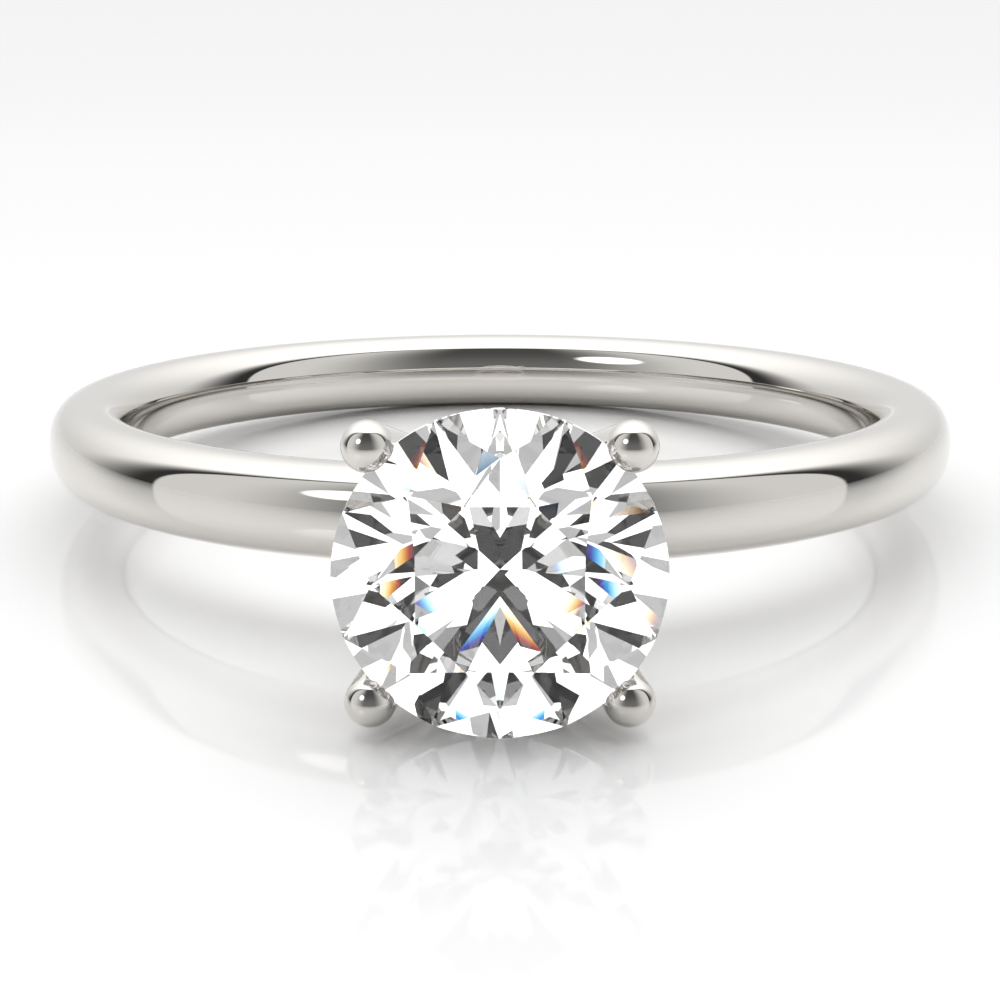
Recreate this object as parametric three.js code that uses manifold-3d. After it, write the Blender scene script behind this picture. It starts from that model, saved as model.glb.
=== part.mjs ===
// Solitaire engagement ring: a comfort-fit shank, a four-prong peg head and a round brilliant.
// Millimetres. The origin is the centre of the finger hole, +Z runs along the finger,
// +X is to the right, and the stone faces -Y.

import * as THREE from 'three';
import { mergeVertices } from 'three/addons/utils/BufferGeometryUtils.js';
import Module from 'manifold-3d';

const wasm = await Module();
wasm.setup();

// ---- Driving dimensions -------------------------------------------------------------------

// Shank
const FINGER_DIAMETER = 17.3;
const BAND_WIDTH = 1.9;
const BAND_THICKNESS = 1.72;
const BAND_SQUARENESS = 2.35; // exponent of the section's superellipse; 2 would be an ellipse

// Stone. A cutter gives these proportions as shares of the girdle radius.
const STONE_DIAMETER = 5.75;
const GIRDLE_THICKNESS = 0.16;
const CROWN_ANGLE = 34.8;
const PAVILION_ANGLE = 40.8;
const TABLE_SHARE = 0.53;
const STAR_SHARE = 0.51;
const LOWER_HALF_SHARE = 0.79;
const MAIN_FACETS = 8;

// Head
const PRONG_COUNT = 4;
const PRONG_WIRE = 0.88;
const BALL_SWELL = 0.02; // how much wider the melted ball is than its wire
const BALL_OUTSET = 0.28; // from the girdle's edge out to the ball's centre
const LOWER_RING_RADIUS = 1.72; // to the middle of its wire
const LOWER_RING_WIRE = 0.8;
const UPPER_RING_WIRE = 0.55;
const UPPER_RING_ABOVE_CULET = 0.7;
const UPPER_RING_BITE = 0.15; // how far the upper ring is let into the prongs
const CULET_CLEARANCE = 0.49;

// Peg
const PEG_PLATE_THICKNESS = 0.4;
const PEG_COLLAR_RISE = 0.42; // from the top of the shank to the underside of the plate
const PEG_COLLAR_INSET = 0.05; // how far the collar stays inside the shank's edge
const PEG_COLLAR_SKIRT = 0.7; // how far the collar's sides reach down over the rounded shank
const PEG_PIN_DIAMETER = 1.2;
const PEG_PIN_DEPTH = 1.0;

// Clearances
const SOLDER_GAP = 0.03;
const SEAT_CLEARANCE = 0.03;

// Mesh fineness
const BAND_STEPS = 80;
const SECTION_STEPS = 20;
const GIRDLE_STEPS = 64;
const WIRE_SIDES = 16;
const BALL_RINGS = 12;
const RING_STEPS = 48;

// ---- Worked-out dimensions ----------------------------------------------------------------

const fingerRadius = FINGER_DIAMETER / 2;
const bandMiddleRadius = fingerRadius + BAND_THICKNESS / 2;
const bandOuterRadius = fingerRadius + BAND_THICKNESS;

const stoneRadius = STONE_DIAMETER / 2;
const halfGirdle = GIRDLE_THICKNESS / 2;
const crownSlope = Math.tan(THREE.MathUtils.degToRad(CROWN_ANGLE));
const pavilionSlope = Math.tan(THREE.MathUtils.degToRad(PAVILION_ANGLE));
const tableRadius = TABLE_SHARE * stoneRadius;
const tableHeight = halfGirdle + crownSlope * (stoneRadius - tableRadius);
const culetDepth = halfGirdle + pavilionSlope * stoneRadius;

// Heights in the head are counted from the girdle plane, positive towards the table.
const plateTop = -(culetDepth + CULET_CLEARANCE);
const plateBottom = plateTop - PEG_PLATE_THICKNESS;
const bandTop = plateBottom - PEG_COLLAR_RISE;
const lowerRingHeight = (plateTop + plateBottom) / 2;
const upperRingHeight = -(culetDepth - UPPER_RING_ABOVE_CULET);
const girdlePlane = bandOuterRadius - bandTop;

const wireRadius = PRONG_WIRE / 2;
const ballRadius = wireRadius + BALL_SWELL / 2;
const ballCircleRadius = stoneRadius + BALL_OUTSET;
const prongLean = Math.atan2(ballCircleRadius - LOWER_RING_RADIUS, -lowerRingHeight);
const prongLength = -lowerRingHeight / Math.cos(prongLean);

// ---- Solids: closed geometries turned into manifold solids and back ------------------------

function toSolid(geometry) {
  const bare = geometry.index ? geometry.toNonIndexed() : geometry.clone();
  bare.deleteAttribute('normal');
  bare.deleteAttribute('uv');
  const merged = mergeVertices(bare, 1e-5);
  const corners = merged.index.array;
  const kept = [];
  for (let i = 0; i < corners.length; i += 3) {
    const [a, b, c] = [corners[i], corners[i + 1], corners[i + 2]];
    if (a !== b && b !== c && c !== a) kept.push(a, b, c);
  }
  const mesh = new wasm.Mesh({
    numProp: 3,
    vertProperties: new Float32Array(merged.attributes.position.array),
    triVerts: new Uint32Array(kept),
  });
  return new wasm.Manifold(mesh);
}

function toGeometry(solid) {
  const mesh = solid.getMesh();
  const geometry = new THREE.BufferGeometry();
  const positions = new Float32Array(mesh.vertProperties);
  geometry.setAttribute('position', new THREE.BufferAttribute(positions, 3));
  geometry.setIndex(new THREE.BufferAttribute(new Uint32Array(mesh.triVerts), 1));
  return geometry;
}

function moved(geometry, ...matrices) {
  for (const matrix of matrices) geometry.applyMatrix4(matrix);
  return geometry;
}

const shift = (x, y, z) => new THREE.Matrix4().makeTranslation(x, y, z);
const turnX = (angle) => new THREE.Matrix4().makeRotationX(angle);
const turnY = (angle) => new THREE.Matrix4().makeRotationY(angle);
const turnZ = (angle) => new THREE.Matrix4().makeRotationZ(angle);

// A cylinder along +Z from one height to another.
function rod(radius, from, to, sides) {
  const geometry = new THREE.CylinderGeometry(radius, radius, to - from, sides);
  return toSolid(moved(geometry, turnX(Math.PI / 2), shift(0, 0, (from + to) / 2)));
}

// ---- Shank --------------------------------------------------------------------------------

// The section is a superellipse; growth widens it evenly, for cutting neighbours clear of it.
function bandSolid(growth) {
  const halfThickness = BAND_THICKNESS / 2 + growth;
  const halfWidth = BAND_WIDTH / 2 + growth;
  const power = 2 / BAND_SQUARENESS;
  const points = [];
  for (let i = 0; i <= SECTION_STEPS; i += 1) {
    const angle = (-2 * Math.PI * (i % SECTION_STEPS)) / SECTION_STEPS;
    const across = Math.cos(angle);
    const along = Math.sin(angle);
    points.push(new THREE.Vector2(
      bandMiddleRadius + halfThickness * Math.sign(across) * Math.abs(across) ** power,
      halfWidth * Math.sign(along) * Math.abs(along) ** power,
    ));
  }
  return toSolid(moved(new THREE.LatheGeometry(points.reverse(), BAND_STEPS), turnX(Math.PI / 2)));
}

// ---- Round brilliant: a round blank with every facet cut from it ---------------------------

const facetStep = (2 * Math.PI) / MAIN_FACETS;

function polar(radius, angle, height) {
  return new THREE.Vector3(radius * Math.cos(angle), radius * Math.sin(angle), height);
}

// A block whose one face lies on the plane through three points, on the side away from the centre.
function facetBlock(a, b, c) {
  const plane = new THREE.Plane().setFromCoplanarPoints(a, b, c);
  if (plane.constant > 0) plane.negate();
  const size = 4 * stoneRadius;
  const toNormal = new THREE.Quaternion().setFromUnitVectors(new THREE.Vector3(0, 0, 1), plane.normal);
  const middle = plane.normal.clone().multiplyScalar(size / 2 - plane.constant);
  const place = new THREE.Matrix4().compose(middle, toNormal, new THREE.Vector3(1, 1, 1));
  return toSolid(moved(new THREE.BoxGeometry(size, size, size), place));
}

function stoneFacets() {
  const facets = [];
  const flatRadius = tableRadius * Math.cos(facetStep / 2);
  const starRadius = flatRadius + STAR_SHARE * (stoneRadius - flatRadius);
  const starHeight = halfGirdle + crownSlope * (stoneRadius - starRadius * Math.cos(facetStep / 2));
  const lowerRadius = (1 - LOWER_HALF_SHARE) * stoneRadius;
  const lowerHeight = pavilionSlope * (lowerRadius * Math.cos(facetStep / 2) - stoneRadius) - halfGirdle;
  const culet = new THREE.Vector3(0, 0, -culetDepth);
  for (let i = 0; i < MAIN_FACETS; i += 1) {
    const between = i * facetStep;
    const before = between - facetStep / 2;
    const after = between + facetStep / 2;
    const star = polar(starRadius, between, starHeight);
    const nextStar = polar(starRadius, between + facetStep, starHeight);
    const lower = polar(lowerRadius, between, lowerHeight);
    const nextLower = polar(lowerRadius, between + facetStep, lowerHeight);
    facets.push([polar(tableRadius, after, tableHeight), star, nextStar]);
    facets.push([polar(tableRadius, before, tableHeight), polar(tableRadius, after, tableHeight), star]);
    facets.push([culet, lower, nextLower]);
    for (const side of [before, after]) {
      facets.push([star, polar(stoneRadius, side, halfGirdle), polar(stoneRadius, between, halfGirdle)]);
      facets.push([lower, polar(stoneRadius, side, -halfGirdle), polar(stoneRadius, between, -halfGirdle)]);
    }
  }
  return facets;
}

function stoneSolid() {
  let stone = rod(stoneRadius, -culetDepth - CULET_CLEARANCE, tableHeight, GIRDLE_STEPS);
  for (const [a, b, c] of stoneFacets()) stone = stone.subtract(facetBlock(a, b, c));
  return stone;
}

// The stone grown so that its crown planes stand off by the seat clearance.
function seatCutter(stone) {
  const nearest = stoneRadius * Math.sin(THREE.MathUtils.degToRad(CROWN_ANGLE));
  return stone.scale(1 + SEAT_CLEARANCE / nearest);
}

// ---- Head ---------------------------------------------------------------------------------

// A ring of round wire about the head's axis.
function wireRing(radius, height, thickness) {
  return toSolid(moved(
    new THREE.TorusGeometry(radius, thickness / 2, WIRE_SIDES, RING_STEPS),
    shift(0, 0, height),
  ));
}

// One prong's wire with its ball, leaning in from the girdle to the lower ring.
function prongBlank(index, growth) {
  const around = ((index + 0.5) * 2 * Math.PI) / PRONG_COUNT;
  const ball = new THREE.SphereGeometry(ballRadius + growth, WIRE_SIDES, BALL_RINGS);
  const place = [turnY(prongLean), shift(ballCircleRadius, 0, 0), turnZ(around)];
  const wire = new THREE.CylinderGeometry(wireRadius + growth, wireRadius + growth, prongLength, WIRE_SIDES);
  moved(wire, turnX(Math.PI / 2), shift(0, 0, -prongLength / 2), ...place);
  return toSolid(wire).add(toSolid(moved(ball, turnX(Math.PI / 2), ...place)));
}

function upperRingRadius() {
  const prongMiddle = ballCircleRadius + upperRingHeight * Math.tan(prongLean);
  const prongInside = prongMiddle - wireRadius / Math.cos(prongLean);
  return prongInside + UPPER_RING_BITE - UPPER_RING_WIRE / 2;
}

// The shank as the head sees it: its middle one girdle distance below the stone.
function bandUnderHead(growth) {
  const toHead = new THREE.Matrix4().multiplyMatrices(turnX(-Math.PI / 2), shift(0, girdlePlane, 0));
  return bandSolid(growth).transform(toHead.elements);
}

// Plate inside the lower ring, collar saddled on the shank, and pin down into its hole.
function pegSolid() {
  const plateRadius = LOWER_RING_RADIUS - LOWER_RING_WIRE / 2 - SOLDER_GAP;
  const collarRadius = Math.min(BAND_WIDTH / 2 - PEG_COLLAR_INSET, plateRadius);
  const collar = rod(collarRadius, bandTop - PEG_COLLAR_SKIRT, plateTop, RING_STEPS);
  const plate = rod(plateRadius, plateBottom, plateTop, RING_STEPS);
  const pin = rod(PEG_PIN_DIAMETER / 2, bandTop - PEG_PIN_DEPTH, plateTop, RING_STEPS);
  return collar.subtract(bandUnderHead(SOLDER_GAP)).add(plate).add(pin);
}

function pegHole() {
  const radius = PEG_PIN_DIAMETER / 2 + SOLDER_GAP;
  const depth = PEG_PIN_DEPTH + SOLDER_GAP;
  const hole = new THREE.CylinderGeometry(radius, radius, 2 * depth, RING_STEPS);
  return toSolid(moved(hole, shift(0, -bandOuterRadius, 0)));
}

// ---- Assembly -----------------------------------------------------------------------------

const whiteGold = new THREE.MeshStandardMaterial({ color: '#d9d6d1', metalness: 1, roughness: 0.08 });
const diamond = new THREE.MeshStandardMaterial({ color: '#f4f7fa', metalness: 0, roughness: 0.02 });

function named(name, solid, material) {
  const mesh = new THREE.Mesh(toGeometry(solid), material);
  mesh.name = name;
  return mesh;
}

const ring = new THREE.Group();
ring.add(named('shank', bandSolid(0).subtract(pegHole()), whiteGold));

const head = new THREE.Group();
head.position.set(0, -girdlePlane, 0);
head.rotation.x = Math.PI / 2;
ring.add(head);

const stone = stoneSolid();
head.add(named('centre_stone', stone, diamond));
head.add(named('head_peg', pegSolid(), whiteGold));
head.add(named('lower_gallery_ring', wireRing(LOWER_RING_RADIUS, lowerRingHeight, LOWER_RING_WIRE), whiteGold));

let upperRing = wireRing(upperRingRadius(), upperRingHeight, UPPER_RING_WIRE);
const ringSeat = wireRing(LOWER_RING_RADIUS, lowerRingHeight, LOWER_RING_WIRE + 2 * SOLDER_GAP);
const prongNames = ['prong_upper_right', 'prong_upper_left', 'prong_lower_left', 'prong_lower_right'];
for (let i = 0; i < PRONG_COUNT; i += 1) {
  const prong = prongBlank(i, 0).subtract(seatCutter(stone)).subtract(ringSeat);
  head.add(named(prongNames[i], prong, whiteGold));
  upperRing = upperRing.subtract(prongBlank(i, SOLDER_GAP));
}
head.add(named('upper_gallery_ring', upperRing, whiteGold));

export default ring;
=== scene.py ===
"""Solitaire engagement ring in polished white gold, set with a round brilliant and lying on its side.

Everything is in metres and in the frame's own axes: the origin is the centre of the finger hole,
+Z runs along the finger and the stone faces -Y.
"""

import math

import bmesh
import bpy
import numpy as np
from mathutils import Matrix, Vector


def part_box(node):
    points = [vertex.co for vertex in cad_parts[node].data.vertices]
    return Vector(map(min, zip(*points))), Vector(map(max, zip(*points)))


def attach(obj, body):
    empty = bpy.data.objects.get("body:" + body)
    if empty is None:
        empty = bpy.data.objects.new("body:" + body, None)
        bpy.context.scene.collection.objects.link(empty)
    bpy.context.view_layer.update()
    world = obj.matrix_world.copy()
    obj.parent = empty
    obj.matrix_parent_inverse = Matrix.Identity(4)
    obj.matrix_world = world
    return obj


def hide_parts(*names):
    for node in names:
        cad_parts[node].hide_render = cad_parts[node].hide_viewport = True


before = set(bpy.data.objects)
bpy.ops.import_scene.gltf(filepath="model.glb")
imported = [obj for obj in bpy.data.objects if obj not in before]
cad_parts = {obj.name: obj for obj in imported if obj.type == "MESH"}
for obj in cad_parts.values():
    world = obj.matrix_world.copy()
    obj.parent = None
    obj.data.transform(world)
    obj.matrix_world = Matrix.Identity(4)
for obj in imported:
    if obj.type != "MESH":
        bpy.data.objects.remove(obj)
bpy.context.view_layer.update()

MM = 0.001
TURN = 2 * math.pi

# ---- Sizes that the frame's boxes don't give ----------------------------------------------------

BAND_SQUARENESS = 2.35  # exponent of the band's section; 2 would be an ellipse
PRONG_WIRE = 0.88 * MM
BALL_SWELL = 0.02 * MM  # how much wider the melted ball is than its wire
BALL_OUTSET = 0.28 * MM  # from the girdle's edge out to the ball's centre
NECK_LENGTH = 0.30 * MM  # over which the ball narrows to the wire
PEG_PLATE_THICKNESS = 0.40 * MM
PEG_COLLAR_INSET = 0.05 * MM
PEG_PIN_DIAMETER = 1.20 * MM
PEG_EDGE_ROUND = 0.06 * MM
SOLDER_GAP = 0.03 * MM
SEAT_CLEARANCE = 0.03 * MM
STAR_SHARE = 0.51  # how far the star facets reach from the table's sides to the girdle
LOWER_HALF_SHARE = 0.79  # how far the lower halves reach from the girdle to the culet
MAIN_FACETS = 8
PRONGS = {  # quarter of the head that each prong stands in, counted from +X towards +Z
    "prong_upper_right": 0,
    "prong_upper_left": 1,
    "prong_lower_left": 2,
    "prong_lower_right": 3,
}

# Mesh fineness
BAND_STEPS = 512
SECTION_STEPS = 96
WIRE_STEPS = 96
BALL_ROWS = 32
PRONG_ROWS = 72
CAP_ROWS = 12
RING_STEPS = 192
EDGE_ROWS = 8
HALF_FACET_STEPS = 8  # along the girdle, under each of its 16 half facets


# ---- Sizes read from the frame ------------------------------------------------------------------

def corners_of(node):
    """The corners of a CAD node, one row each."""
    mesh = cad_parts[node].data
    flat = np.empty(3 * len(mesh.vertices), np.float32)
    mesh.vertices.foreach_get("co", flat)
    return flat.reshape(-1, 3).astype(float)


def planes_of(node):
    """The outward normals of a CAD node's faces and each one's distance from the origin."""
    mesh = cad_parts[node].data
    normals = np.empty(3 * len(mesh.polygons), np.float32)
    middles = np.empty(3 * len(mesh.polygons), np.float32)
    mesh.polygons.foreach_get("normal", normals)
    mesh.polygons.foreach_get("center", middles)
    normals = normals.reshape(-1, 3).astype(float)
    return normals, (normals * middles.reshape(-1, 3)).sum(1)


shank_reach = np.hypot(*corners_of("shank")[:, :2].T)
band_outer = shank_reach.max()
band_inner = shank_reach.min()
band_middle = (band_outer + band_inner) / 2
half_thickness = (band_outer - band_inner) / 2
half_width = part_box("shank")[1].z

stone_corners = corners_of("centre_stone")
stone_reach = np.hypot(stone_corners[:, 0], stone_corners[:, 2])
stone_radius = stone_reach.max()
girdle_heights = stone_corners[stone_reach > 0.998 * stone_radius, 1]
girdle_y = (girdle_heights.min() + girdle_heights.max()) / 2
half_girdle = (girdle_heights.max() - girdle_heights.min()) / 2
stone_normals, stone_distances = planes_of("centre_stone")
table_y = stone_corners[:, 1].min()
table_radius = stone_reach[stone_corners[:, 1] < table_y + 0.001 * MM].max()
culet_y = stone_corners[:, 1].max()


def wire_ring_sizes(node):
    """Radius to the middle of the wire, the wire's own radius, and the ring's place along Y."""
    low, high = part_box(node)
    wire = (high.y - low.y) / 2
    return high.x - wire, wire, (high.y + low.y) / 2


lower_radius, lower_wire, lower_y = wire_ring_sizes("lower_gallery_ring")
upper_radius, upper_wire, upper_y = wire_ring_sizes("upper_gallery_ring")

wire_radius = PRONG_WIRE / 2
ball_radius = wire_radius + BALL_SWELL / 2
ball_circle = stone_radius + BALL_OUTSET


# ---- Mesh helpers -------------------------------------------------------------------------------

def skin(name, grid, loop=False):
    """A closed mesh over a grid of points. Rows run along the piece and columns run round it.

    The columns close on themselves. With loop the rows do too; without it the first and the last
    row are each closed by a fan round their middle point."""
    rows, columns = grid.shape[:2]
    index = np.arange(rows * columns).reshape(rows, columns)
    points = grid.reshape(-1, 3)
    if loop:
        index = np.vstack([index, index[:1]])
    near = index[:-1]
    far = index[1:]
    quads = np.stack([near, np.roll(near, -1, 1), np.roll(far, -1, 1), far], -1).reshape(-1, 4)
    faces = quads.tolist()
    if not loop:
        middles = np.stack([grid[0].mean(0), grid[-1].mean(0)])
        for end, row in enumerate((index[0], index[-1])):
            middle = np.full(columns, len(points) + end)
            faces += np.stack([row, np.roll(row, -1), middle], -1).tolist()
        points = np.vstack([points, middles])
    mesh = bpy.data.meshes.new(name)
    mesh.from_pydata(points.tolist(), [], faces)
    face_outwards(mesh)
    piece = bpy.data.objects.new(name, mesh)
    bpy.context.scene.collection.objects.link(piece)
    return piece


def face_outwards(mesh):
    """Turns every face outwards, then shades smooth except across real edges."""
    work = bmesh.new()
    work.from_mesh(mesh)
    bmesh.ops.recalc_face_normals(work, faces=work.faces)
    work.to_mesh(mesh)
    work.free()
    mesh.shade_smooth()
    mesh.set_sharp_from_angle(angle=math.radians(35))


def round_steps(count):
    """Evenly spaced angles once round, without the last one, which is the first again."""
    return np.linspace(0, TURN, count, endpoint=False)


def around_head(radius, turn, y):
    """Points at a radius and an angle round the head's axis, at a place along Y."""
    radius, turn, y = np.broadcast_arrays(radius, turn, y)
    return np.stack([radius * np.cos(turn), y, radius * np.sin(turn)], -1)


# ---- Shank --------------------------------------------------------------------------------------

def superellipse(angle, across, along):
    """cos and sin of the angle, each raised to 2 / squareness with its sign kept, times the half axes."""
    cosine = np.cos(angle)
    sine = np.sin(angle)
    power = 2 / BAND_SQUARENESS
    return (across * np.sign(cosine) * np.abs(cosine) ** power,
            along * np.sign(sine) * np.abs(sine) ** power)


def shank():
    """The superellipse section carried once round the finger hole."""
    turn = round_steps(BAND_STEPS)[:, None]
    out, z = superellipse(round_steps(SECTION_STEPS)[None, :], half_thickness, half_width)
    reach = band_middle + out
    grid = np.stack(np.broadcast_arrays(reach * np.cos(turn), reach * np.sin(turn), z), -1)
    return skin("polished_shank", grid, loop=True)


def top_of_shank(x, z):
    """Where the shank's skin, grown by the solder gap, lies along Y under a point of the head.

    The section's reach is its middle plus the superellipse height at z, and Y follows from it and x
    by Pythagoras."""
    share = np.clip(1 - np.abs(z / (half_width + SOLDER_GAP)) ** BAND_SQUARENESS, 0, None)
    reach = band_middle + (half_thickness + SOLDER_GAP) * share ** (1 / BAND_SQUARENESS)
    return -np.sqrt(reach ** 2 - x ** 2)


# ---- Head ---------------------------------------------------------------------------------------

def clear_of_stone(points):
    """Points inside the stone move straight out from the head's axis to its skin plus the clearance.

    The stone is convex, so along each radial line its skin is the nearest of its face planes."""
    radius = np.hypot(points[..., 0], points[..., 2])
    outward = points[..., [0, 2]] / np.maximum(radius, 1e-9)[..., None]
    slope = outward @ stone_normals[:, [0, 2]].T
    room = stone_distances + SEAT_CLEARANCE - points[..., 1:2] * stone_normals[:, 1]
    limit = np.where(slope > 1e-6, room / np.maximum(slope, 1e-6), np.inf).min(-1)
    beside = (np.where(slope <= 1e-6, room, np.inf).min(-1) < 0)
    new_radius = np.where(beside, radius, np.maximum(radius, limit))
    return np.stack([outward[..., 0] * new_radius, points[..., 1], outward[..., 1] * new_radius], -1)


def prong_axis(quarter):
    """The ball's centre, the unit vector down the wire, and two unit vectors square to it."""
    turn = (quarter + 0.5) * TURN / 4
    ball = around_head(ball_circle, turn, girdle_y)
    foot = around_head(lower_radius, turn, lower_y)
    down = (foot - ball) / np.linalg.norm(foot - ball)
    sideways = np.array([-math.sin(turn), 0, math.cos(turn)])
    return ball, down, sideways, np.cross(down, sideways)


def run_to_ring(starts, down, length):
    """How far each line from its start runs down before it meets the lower ring's wire.

    The distance to the wire's skin is halved in on from both ends, for all lines at once."""
    near = np.full(starts.shape[:-1], 0.5 * length)
    far = np.full(starts.shape[:-1], length)
    for _ in range(30):
        middle = (near + far) / 2
        points = starts + middle[..., None] * down
        radius = np.hypot(points[..., 0], points[..., 2])
        outside = np.hypot(radius - lower_radius, points[..., 1] - lower_y) > lower_wire + SOLDER_GAP
        near = np.where(outside, middle, near)
        far = np.where(outside, far, middle)
    return (near + far) / 2


def prong(name, quarter):
    """A ball that narrows into a wire, turned about the prong's axis.

    The ball is a quarter circle from its pole to its widest; from there the radius is the wire's plus
    a bell curve that dies away down the neck. The foot is cut to the lower ring's wire, and the side
    that meets the girdle is notched."""
    ball, down, sideways, inwards = prong_axis(quarter)
    length = np.linalg.norm(around_head(lower_radius, (quarter + 0.5) * TURN / 4, lower_y) - ball)
    angle = round_steps(WIRE_STEPS)
    spokes = np.cos(angle)[:, None] * sideways + np.sin(angle)[:, None] * inwards

    lift = np.linspace(0, math.pi / 2, BALL_ROWS + 1)[1:, None, None]
    dome = ball - ball_radius * np.cos(lift) * down + ball_radius * np.sin(lift) * spokes

    run = run_to_ring(ball + wire_radius * spokes, down, length)
    along = np.linspace(0, 1, PRONG_ROWS + 1)[1:, None] * run
    radius = wire_radius + (ball_radius - wire_radius) * np.exp(-(along / NECK_LENGTH) ** 2)
    wire = ball + along[..., None] * down + radius[..., None] * spokes

    shrink = np.linspace(1, 0, CAP_ROWS + 1)[1:-1, None, None]
    starts = ball + shrink * wire_radius * spokes
    cap = starts + run_to_ring(starts, down, length)[..., None] * down

    grid = clear_of_stone(np.concatenate([dome, wire, cap]))
    return skin(name, grid)


def wire_ring(name, radius, wire, y, quarters=()):
    """A ring of round wire about the head's axis, let into the prongs that it touches.

    Points inside a prong's wire move straight away from that prong's axis to its skin plus the gap."""
    around = round_steps(RING_STEPS)[:, None]
    section = round_steps(WIRE_STEPS // 2)[None, :]
    grid = around_head(radius + wire * np.cos(section), around, y + wire * np.sin(section))
    for quarter in quarters:
        ball, down, _, _ = prong_axis(quarter)
        offset = grid - ball
        offset = offset - (offset @ down)[..., None] * down
        distance = np.linalg.norm(offset, axis=-1, keepdims=True)
        grid = grid + offset * (np.maximum(distance, wire_radius + SOLDER_GAP) / distance - 1)
    return skin(name, grid, loop=True)


def peg():
    """Plate, collar and pin as one turned profile whose lower stretch follows the shank's skin."""
    low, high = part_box("head_peg")
    plate_radius = high.x
    plate_front = low.y
    plate_back = plate_front + PEG_PLATE_THICKNESS
    pin_end = high.y
    collar_radius = half_width - PEG_COLLAR_INSET
    pin_radius = PEG_PIN_DIAMETER / 2
    turn = round_steps(WIRE_STEPS)[None, :]
    bend = np.linspace(0, math.pi / 2, EDGE_ROWS)[:, None]
    edge = PEG_EDGE_ROUND

    def band(radius, y):
        return around_head(radius, turn, y)

    def saddle(radius):
        return band(radius, top_of_shank(radius * np.cos(turn), radius * np.sin(turn)))

    face = band(np.linspace(0.1, 1, EDGE_ROWS)[:, None] * (plate_radius - edge), plate_front)
    rim_front = band(plate_radius - edge + edge * np.sin(bend), plate_front + edge - edge * np.cos(bend))
    rim_back = band(plate_radius - edge + edge * np.cos(bend), plate_back - edge + edge * np.sin(bend))
    inner_bend = band(collar_radius + edge - edge * np.sin(bend), plate_back + edge - edge * np.cos(bend))
    saddle_rows = saddle(np.linspace(collar_radius, pin_radius, CAP_ROWS)[:, None])
    pin = band(np.array([[pin_radius], [pin_radius - edge]]), np.array([[pin_end - edge], [pin_end]]))
    grid = np.concatenate([face, rim_front, rim_back, inner_bend, saddle_rows, pin])
    return skin("peg_and_collar", grid)


# ---- Stone --------------------------------------------------------------------------------------

def half_facet_edge(tip_radius, tip_height, corner_height):
    """Heights along the girdle, from a junction to a main facet, where one half facet meets it.

    The facet's plane goes through its tip and through two girdle points half a main facet apart, so
    between them, where the round girdle bulges past the chord, it meets the girdle lower down."""
    half = TURN / MAIN_FACETS / 2
    first = np.array([stone_radius, 0, corner_height])
    second = np.array([stone_radius * math.cos(half), stone_radius * math.sin(half), corner_height])
    tip = np.array([tip_radius, 0, tip_height])
    normal = np.cross(second - first, tip - first)
    turn = np.linspace(0, half, HALF_FACET_STEPS + 1)
    x = stone_radius * np.cos(turn) - stone_radius
    z = stone_radius * np.sin(turn)
    return corner_height - (normal[0] * x + normal[1] * z) / normal[2]


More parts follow.
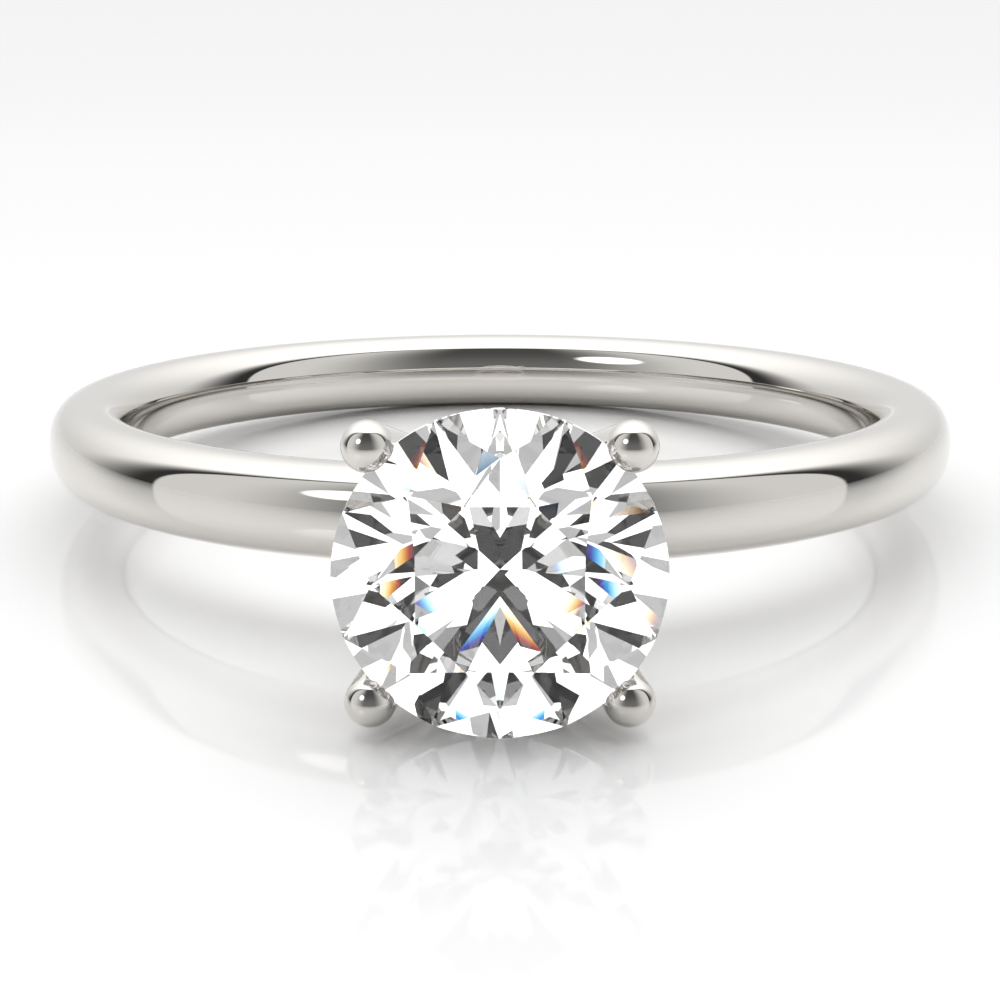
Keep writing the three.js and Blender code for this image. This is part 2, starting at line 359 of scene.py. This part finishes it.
def brilliant():
    """The 57 flat facets and the girdle of a round brilliant, from its corners.

    Heights are counted from the girdle plane, positive towards the table. Main facets are centred half
    a step round from the junctions, where the stars and the halves meet."""
    step = TURN / MAIN_FACETS
    junctions = np.arange(MAIN_FACETS) * step
    mains = junctions + step / 2
    table_height = girdle_y - table_y
    crown_slope = (table_height - half_girdle) / (stone_radius - table_radius)
    flat = table_radius * math.cos(step / 2)
    star_radius = flat + STAR_SHARE * (stone_radius - flat)
    star_height = half_girdle + crown_slope * (stone_radius - star_radius * math.cos(step / 2))
    pavilion_slope = (culet_y - girdle_y - half_girdle) / stone_radius
    lower_tip = (1 - LOWER_HALF_SHARE) * stone_radius
    lower_height = pavilion_slope * (lower_tip * math.cos(step / 2) - stone_radius) - half_girdle

    upper_edge = half_facet_edge(star_radius, star_height, half_girdle)
    lower_edge = half_facet_edge(lower_tip, lower_height, -half_girdle)
    girdle_count = 2 * MAIN_FACETS * HALF_FACET_STEPS
    girdle_turn = round_steps(girdle_count)
    upper_girdle = np.tile(np.concatenate([upper_edge[:-1], upper_edge[:0:-1]]), MAIN_FACETS)
    lower_girdle = np.tile(np.concatenate([lower_edge[:-1], lower_edge[:0:-1]]), MAIN_FACETS)
    points = np.concatenate([
        around_head(table_radius, mains, table_y),
        around_head(star_radius, junctions, girdle_y - star_height),
        around_head(lower_tip, junctions, girdle_y - lower_height),
        around_head(stone_radius, girdle_turn, girdle_y - upper_girdle),
        around_head(stone_radius, girdle_turn, girdle_y - lower_girdle),
        [[0, culet_y, 0]],
    ])
    table, star, lower = np.arange(3 * MAIN_FACETS).reshape(3, -1).tolist()
    first = 3 * MAIN_FACETS
    upper = list(range(first, first + girdle_count))
    under = list(range(first + girdle_count, first + 2 * girdle_count))
    culet = first + 2 * girdle_count

    facets = [table]
    for near in range(MAIN_FACETS):
        far = (near + 1) % MAIN_FACETS
        start = 2 * near * HALF_FACET_STEPS
        middle = start + HALF_FACET_STEPS
        near_half = [place % girdle_count for place in range(start, middle + 1)]
        far_half = [place % girdle_count for place in range(middle, middle + HALF_FACET_STEPS + 1)]
        facets.append([table[near - 1], star[near], table[near]])
        facets.append([table[near], star[near], upper[middle], star[far]])
        facets.append([star[near]] + [upper[place] for place in near_half])
        facets.append([star[far]] + [upper[place] for place in far_half])
        facets.append([culet, lower[near], under[middle], lower[far]])
        facets.append([lower[near]] + [under[place] for place in near_half])
        facets.append([lower[far]] + [under[place] for place in far_half])
    rim = [[upper[place - 1], upper[place], under[place], under[place - 1]] for place in range(girdle_count)]
    mesh = bpy.data.meshes.new("round_brilliant")
    mesh.from_pydata(points.tolist(), [], facets + rim)
    face_outwards(mesh)
    mesh.shade_flat()
    piece = bpy.data.objects.new("round_brilliant", mesh)
    bpy.context.scene.collection.objects.link(piece)
    return piece


# ---- Materials ----------------------------------------------------------------------------------

def srgb(code):
    """A colour written as #RRGGBB, turned to the linear values that a shader takes."""
    parts = np.array([int(code[start:start + 2], 16) for start in (1, 3, 5)]) / 255
    linear = np.where(parts <= 0.04045, parts / 12.92, ((parts + 0.055) / 1.055) ** 2.4)
    return (*linear.tolist(), 1.0)


def add(tree, kind, inputs=(), **options):
    """One node with its options and its inputs, each a value or another node's output."""
    node = tree.nodes.new(kind)
    for option, value in options.items():
        setattr(node, option, value)
    for socket, value in dict(inputs).items():
        if isinstance(value, bpy.types.NodeSocket):
            tree.links.new(value, node.inputs[socket])
        else:
            node.inputs[socket].default_value = value
    return node.outputs


def new_material(name):
    """An empty node material."""
    material = bpy.data.materials.new(name)
    material.use_nodes = True
    material.node_tree.nodes.clear()
    return material, material.node_tree


def polished_white_gold():
    """14 carat white gold, buffed to a mirror: a warm grey metal with very clean reflections.

    The wheel leaves hairlines about 0.05 mm apart, drawn 0.15 mm apart here, and a slow waviness of
    about 2 mm; both only change how sharp the reflection is."""
    material, tree = new_material("polished_white_gold")
    place = add(tree, "ShaderNodeTexCoord")["Object"]
    waviness = add(tree, "ShaderNodeTexNoise", {"Vector": place, "Scale": 1 / (2.0 * MM), "Detail": 2.0})[0]
    hairlines = add(tree, "ShaderNodeTexNoise", {"Vector": place, "Scale": 1 / (0.15 * MM), "Detail": 3.0})[0]
    both = add(tree, "ShaderNodeMath", {0: waviness, 1: hairlines}, operation="MULTIPLY")[0]
    roughness = add(tree, "ShaderNodeMapRange",
                    {"Value": both, "From Min": 0.1, "From Max": 0.45, "To Min": 0.02, "To Max": 0.06})[0]
    metal = add(tree, "ShaderNodeBsdfPrincipled",
                {"Base Color": srgb("#D9D6D1"), "Metallic": 1.0, "Roughness": roughness})[0]
    add(tree, "ShaderNodeOutputMaterial", {"Surface": metal})
    return material


def diamond():
    """Colourless diamond, polished to flat, perfectly clear facets: most light turns back inside it.

    Most of the glare of its outside is taken off, as a polarising filter does, so its darks are dark."""
    material, tree = new_material("brilliant_cut_diamond")
    crystal = add(tree, "ShaderNodeBsdfGlass", {"Color": srgb("#FFFFFF"), "Roughness": 0.0, "IOR": 2.417})[0]
    no_glare = add(tree, "ShaderNodeBsdfRefraction",
                   {"Color": srgb("#FFFFFF"), "Roughness": 0.0, "IOR": 2.417})[0]
    seen_first = add(tree, "ShaderNodeLightPath")["Is Camera Ray"]
    filtered = add(tree, "ShaderNodeMath", {0: seen_first, 1: GLARE_TAKEN_OFF}, operation="MULTIPLY")[0]
    surface = add(tree, "ShaderNodeMixShader", {0: filtered, 1: crystal, 2: no_glare})[0]
    add(tree, "ShaderNodeOutputMaterial", {"Surface": surface})
    return material


def studio_floor():
    """Satin white acrylic sheet: a near-white body with a faint, soft reflection of what stands on it."""
    material, tree = new_material("satin_white_acrylic")
    sheet = add(tree, "ShaderNodeBsdfPrincipled",
                {"Base Color": srgb("#FAFAFA"), "Roughness": 0.06, "IOR": 1.40})[0]
    add(tree, "ShaderNodeOutputMaterial", {"Surface": sheet})
    return material


# ---- Studio -------------------------------------------------------------------------------------

CAMERA_PLACE = (0.0, -49.49 * MM, 8.79 * MM)
CAMERA_PITCH = math.radians(11.98)
CAMERA_LENS = 76.95
FLOOR_HALF_SIZE = 1.5
FLOOR_LIFT = 0.19  # how much more light the floor gets than the metal sees
FIRE_SPREAD = 0.15  # degrees that red and blue part from green
GLARE_TAKEN_OFF = 0.75  # share of the stone's outer reflection that the filter removes
LATE_LIGHT = 0.2  # what is left of light that has turned about in the stone for long
STONE_SKY = 1.9
STONE_CARDS = (  # middle and half size in degrees of azimuth and elevation, and brightness
    ((-30, 30), (12, 35), 0.6),  # grey panel on the left
    ((30, 30), (10, 25), 0.6),  # grey panel on the right
    ((-60, 30), (10, 30), 0.02),  # black flag beyond the left panel
    ((0, 20), (10, 25), 0.02),  # camera and stand
    ((0, -30), (20, 8), 0.02),  # dark edge of the table
    ((0, 75), (40, 8), 0.6),  # grey ceiling
)


def camera():
    """A short telephoto, level from side to side, looking slightly down at the ring."""
    data = bpy.data.cameras.new("studio_camera")
    data.lens = CAMERA_LENS
    data.sensor_width = 36.0
    data.clip_start = 1 * MM
    data.clip_end = 10.0
    view = bpy.data.objects.new("studio_camera", data)
    view.location = CAMERA_PLACE
    view.rotation_euler = (math.pi / 2 - CAMERA_PITCH, 0, 0)
    bpy.context.scene.collection.objects.link(view)
    bpy.context.scene.camera = view


def resting_plane():
    """The plane under the ring: it touches the edge of the stone's girdle and the back of the band.

    The girdle's lowest point is fixed. The band's lowest point depends on the slope along Y, so the
    slope is worked out again until it settles."""
    front = np.array([girdle_y, -stone_radius])
    slope = 0.0
    out, z = superellipse(round_steps(4 * SECTION_STEPS), half_thickness, half_width)
    for _ in range(20):
        lowest = (z * math.cos(slope) - (band_middle + out) * math.sin(slope)).argmin()
        back = np.array([band_middle + out[lowest], z[lowest]])
        slope = math.atan2(back[1] - front[1], back[0] - front[0])
    return slope, front


def floor(slope, touch):
    """A broad sheet of floor through the touching point, with the ring resting on it."""
    reach = np.array([-1, 1]) * FLOOR_HALF_SIZE
    x, along = np.meshgrid(reach, reach)
    y = touch[0] + along * math.cos(slope)
    z = touch[1] + along * math.sin(slope)
    points = np.stack([x, y, z], -1).reshape(-1, 3)
    mesh = bpy.data.meshes.new("studio_floor")
    mesh.from_pydata(points.tolist(), [], [(0, 1, 3, 2)])
    sheet = bpy.data.objects.new("studio_floor", mesh)
    mesh.materials.append(studio_floor())
    bpy.context.scene.collection.objects.link(sheet)
    sheet.visible_transmission = False


def sky_softbox(sky, towards, up):
    """A broad softbox over the head and behind, fading to black at the sides before its front edge.

    Returns its brightness, and whether a direction lies behind its edge."""
    lift = add(sky, "ShaderNodeMath", {0: up, 1: 5.0}, operation="POWER")[0]
    edge = add(sky, "ShaderNodeMath", {0: lift, 1: 0.40, 2: -0.03}, operation="MULTIPLY_ADD")[0]
    behind = add(sky, "ShaderNodeMath", {0: edge, 1: towards}, operation="SUBTRACT")[0]
    fade_length = add(sky, "ShaderNodeMath", {0: up, 1: -0.52, 2: 0.55}, operation="MULTIPLY_ADD")[0]
    run = add(sky, "ShaderNodeMath", {0: behind, 1: fade_length}, operation="DIVIDE")[0]
    fade = add(sky, "ShaderNodeMapRange", {"Value": run, "From Min": 0.15, "From Max": 1.2},
               interpolation_type="SMOOTHSTEP")[0]
    full = add(sky, "ShaderNodeMapRange", {"Value": up, "To Min": 0.85, "To Max": 1.7},
               interpolation_type="SMOOTHSTEP")[0]
    brightness = add(sky, "ShaderNodeMix", {"Factor": fade, "A": 0.04, "B": full})[0]
    inside = add(sky, "ShaderNodeMapRange", {"Value": behind, "From Min": -0.01, "From Max": 0.01})[0]
    return brightness, inside


def sky_walls(sky, azimuth, up):
    """Walls round the front: light grey at the sides, dark in the middle where the camera stands."""
    sideways = add(sky, "ShaderNodeMath", {0: azimuth}, operation="ABSOLUTE")[0]
    share = add(sky, "ShaderNodeMapRange", {"Value": sideways, "From Min": 20.0, "From Max": 75.0},
                interpolation_type="SMOOTHSTEP")[0]
    middle = add(sky, "ShaderNodeMapRange", {"Value": up, "From Min": 0.1, "From Max": 0.9,
                 "To Min": 0.20, "To Max": 0.09}, interpolation_type="SMOOTHSTEP")[0]
    return add(sky, "ShaderNodeMix", {"Factor": share, "A": middle, "B": 0.88})[0]


def sky_lamp(sky, direction):
    """One round lamp up on the left, with a soft rim."""
    turn = math.radians(-41)
    rise = math.radians(32)
    middle = (math.sin(turn) * math.cos(rise), -math.cos(turn) * math.cos(rise), math.sin(rise))
    facing = add(sky, "ShaderNodeVectorMath", {0: direction, 1: middle}, operation="DOT_PRODUCT")["Value"]
    return add(sky, "ShaderNodeMapRange", {"Value": facing, "From Min": math.cos(math.radians(12)),
               "From Max": math.cos(math.radians(8)), "To Max": 2.0}, interpolation_type="SMOOTHSTEP")[0]


def stone_sky(sky, azimuth, elevation):
    """What the stone gathers and turns back: bright all round, with dark and half-lit cards in front.

    Each card is a rectangle in azimuth and elevation with a soft edge. Red sees the cards shifted one
    way and blue the other, which gives their edges the fire that a diamond's dispersion gives."""
    colours = []
    for shift in (FIRE_SPREAD, 0.0, -FIRE_SPREAD):
        place = add(sky, "ShaderNodeCombineXYZ", {"X": azimuth, "Y": elevation})[0]
        place = add(sky, "ShaderNodeVectorMath", {0: place, 1: (shift, shift, 0)}, operation="ADD")[0]
        brightness = STONE_SKY
        for middle, half_size, level in STONE_CARDS:
            offset = add(sky, "ShaderNodeVectorMath", {0: place, 1: (*middle, 0)}, operation="SUBTRACT")[0]
            scaled = add(sky, "ShaderNodeVectorMath", {0: offset, 1: (*half_size, 1)}, operation="DIVIDE")[0]
            reach = add(sky, "ShaderNodeVectorMath", {0: scaled}, operation="ABSOLUTE")[0]
            parts = add(sky, "ShaderNodeSeparateXYZ", {"Vector": reach})
            farther = add(sky, "ShaderNodeMath", {0: parts["X"], 1: parts["Y"]}, operation="MAXIMUM")[0]
            share = add(sky, "ShaderNodeMapRange", {"Value": farther, "From Min": 1.03, "From Max": 0.97})[0]
            brightness = add(sky, "ShaderNodeMix", {"Factor": share, "A": brightness, "B": level})[0]
        colours.append(brightness)
    return add(sky, "ShaderNodeCombineColor", dict(zip(("Red", "Green", "Blue"), colours)))[0]


def studio_world(slope):
    """The room, drawn on the sky by the direction looked in, in axes that are level with the floor.

    Towards is how far a direction points to the viewer's side, up is how far it rises. Light that has
    come through the stone finds the stone's own sky, dimmer the more often it has turned about in
    there, and the floor is lit a little more than the metal."""
    world = bpy.data.worlds.new("jewellery_studio")
    world.use_nodes = True
    sky = world.node_tree
    sky.nodes.clear()
    direction = add(sky, "ShaderNodeTexCoord")["Generated"]
    direction = add(sky, "ShaderNodeMapping", {"Vector": direction, "Rotation": (-slope, 0, 0)})[0]
    parts = add(sky, "ShaderNodeSeparateXYZ", {"Vector": direction})
    towards = add(sky, "ShaderNodeMath", {0: parts["Y"], 1: -1.0}, operation="MULTIPLY")[0]
    up = add(sky, "ShaderNodeMath", {0: parts["Z"], 1: 0.0}, operation="MAXIMUM")[0]
    turn = add(sky, "ShaderNodeMath", {0: parts["X"], 1: towards}, operation="ARCTAN2")[0]
    azimuth = add(sky, "ShaderNodeMath", {0: turn}, operation="DEGREES")[0]
    rise = add(sky, "ShaderNodeMath", {0: parts["Z"]}, operation="ARCSINE")[0]
    elevation = add(sky, "ShaderNodeMath", {0: rise}, operation="DEGREES")[0]

    softbox, inside = sky_softbox(sky, towards, up)
    walls = sky_walls(sky, azimuth, up)
    room = add(sky, "ShaderNodeMix", {"Factor": inside, "A": walls, "B": softbox})[0]
    glow = sky_lamp(sky, direction)
    brightness = add(sky, "ShaderNodeMath", {0: room, 1: glow}, operation="ADD")[0]

    rays = add(sky, "ShaderNodeLightPath")
    lift = add(sky, "ShaderNodeMath", {0: rays["Is Diffuse Ray"], 1: FLOOR_LIFT, 2: 1.0},
               operation="MULTIPLY_ADD")[0]
    brightness = add(sky, "ShaderNodeMath", {0: brightness, 1: lift}, operation="MULTIPLY")[0]
    room_light = add(sky, "ShaderNodeBackground", {"Color": srgb("#FFFFFF"), "Strength": brightness})[0]
    late = add(sky, "ShaderNodeMapRange", {"Value": rays["Ray Depth"], "From Min": 5.0, "From Max": 8.0,
               "To Min": 1.0, "To Max": LATE_LIGHT})[0]
    stone_light = add(sky, "ShaderNodeBackground",
                      {"Color": stone_sky(sky, azimuth, elevation), "Strength": late})[0]
    light = add(sky, "ShaderNodeMixShader",
                {0: rays["Is Transmission Ray"], 1: room_light, 2: stone_light})[0]
    add(sky, "ShaderNodeOutputWorld", {"Surface": light})
    bpy.context.scene.world = world


def settings():
    """Plain view transform, and enough bounces for light to find its way out of the stone."""
    scene = bpy.context.scene
    scene.view_settings.view_transform = "Standard"
    scene.cycles.max_bounces = 24
    scene.cycles.glossy_bounces = 24
    scene.cycles.transmission_bounces = 24


# ---- Assembly -----------------------------------------------------------------------------------

def settle(piece, node, material):
    """The piece stands for a CAD node, rides on the ring's one body and takes its finish."""
    piece.data.materials.clear()
    piece.data.materials.append(material)
    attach(piece, "root")
    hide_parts(node)


camera()
settings()

gold = polished_white_gold()
settle(shank(), "shank", gold)
settle(peg(), "head_peg", gold)
lower_gallery = wire_ring("lower_gallery", lower_radius, lower_wire, lower_y)
settle(lower_gallery, "lower_gallery_ring", gold)
settle(wire_ring("upper_gallery", upper_radius, upper_wire, upper_y, PRONGS.values()),
       "upper_gallery_ring", gold)
for node, quarter in PRONGS.items():
    settle(prong("ball_tipped_" + node, quarter), node, gold)

settle(brilliant(), "centre_stone", diamond())

floor_slope, floor_touch = resting_plane()
floor(floor_slope, floor_touch)
studio_world(floor_slope)
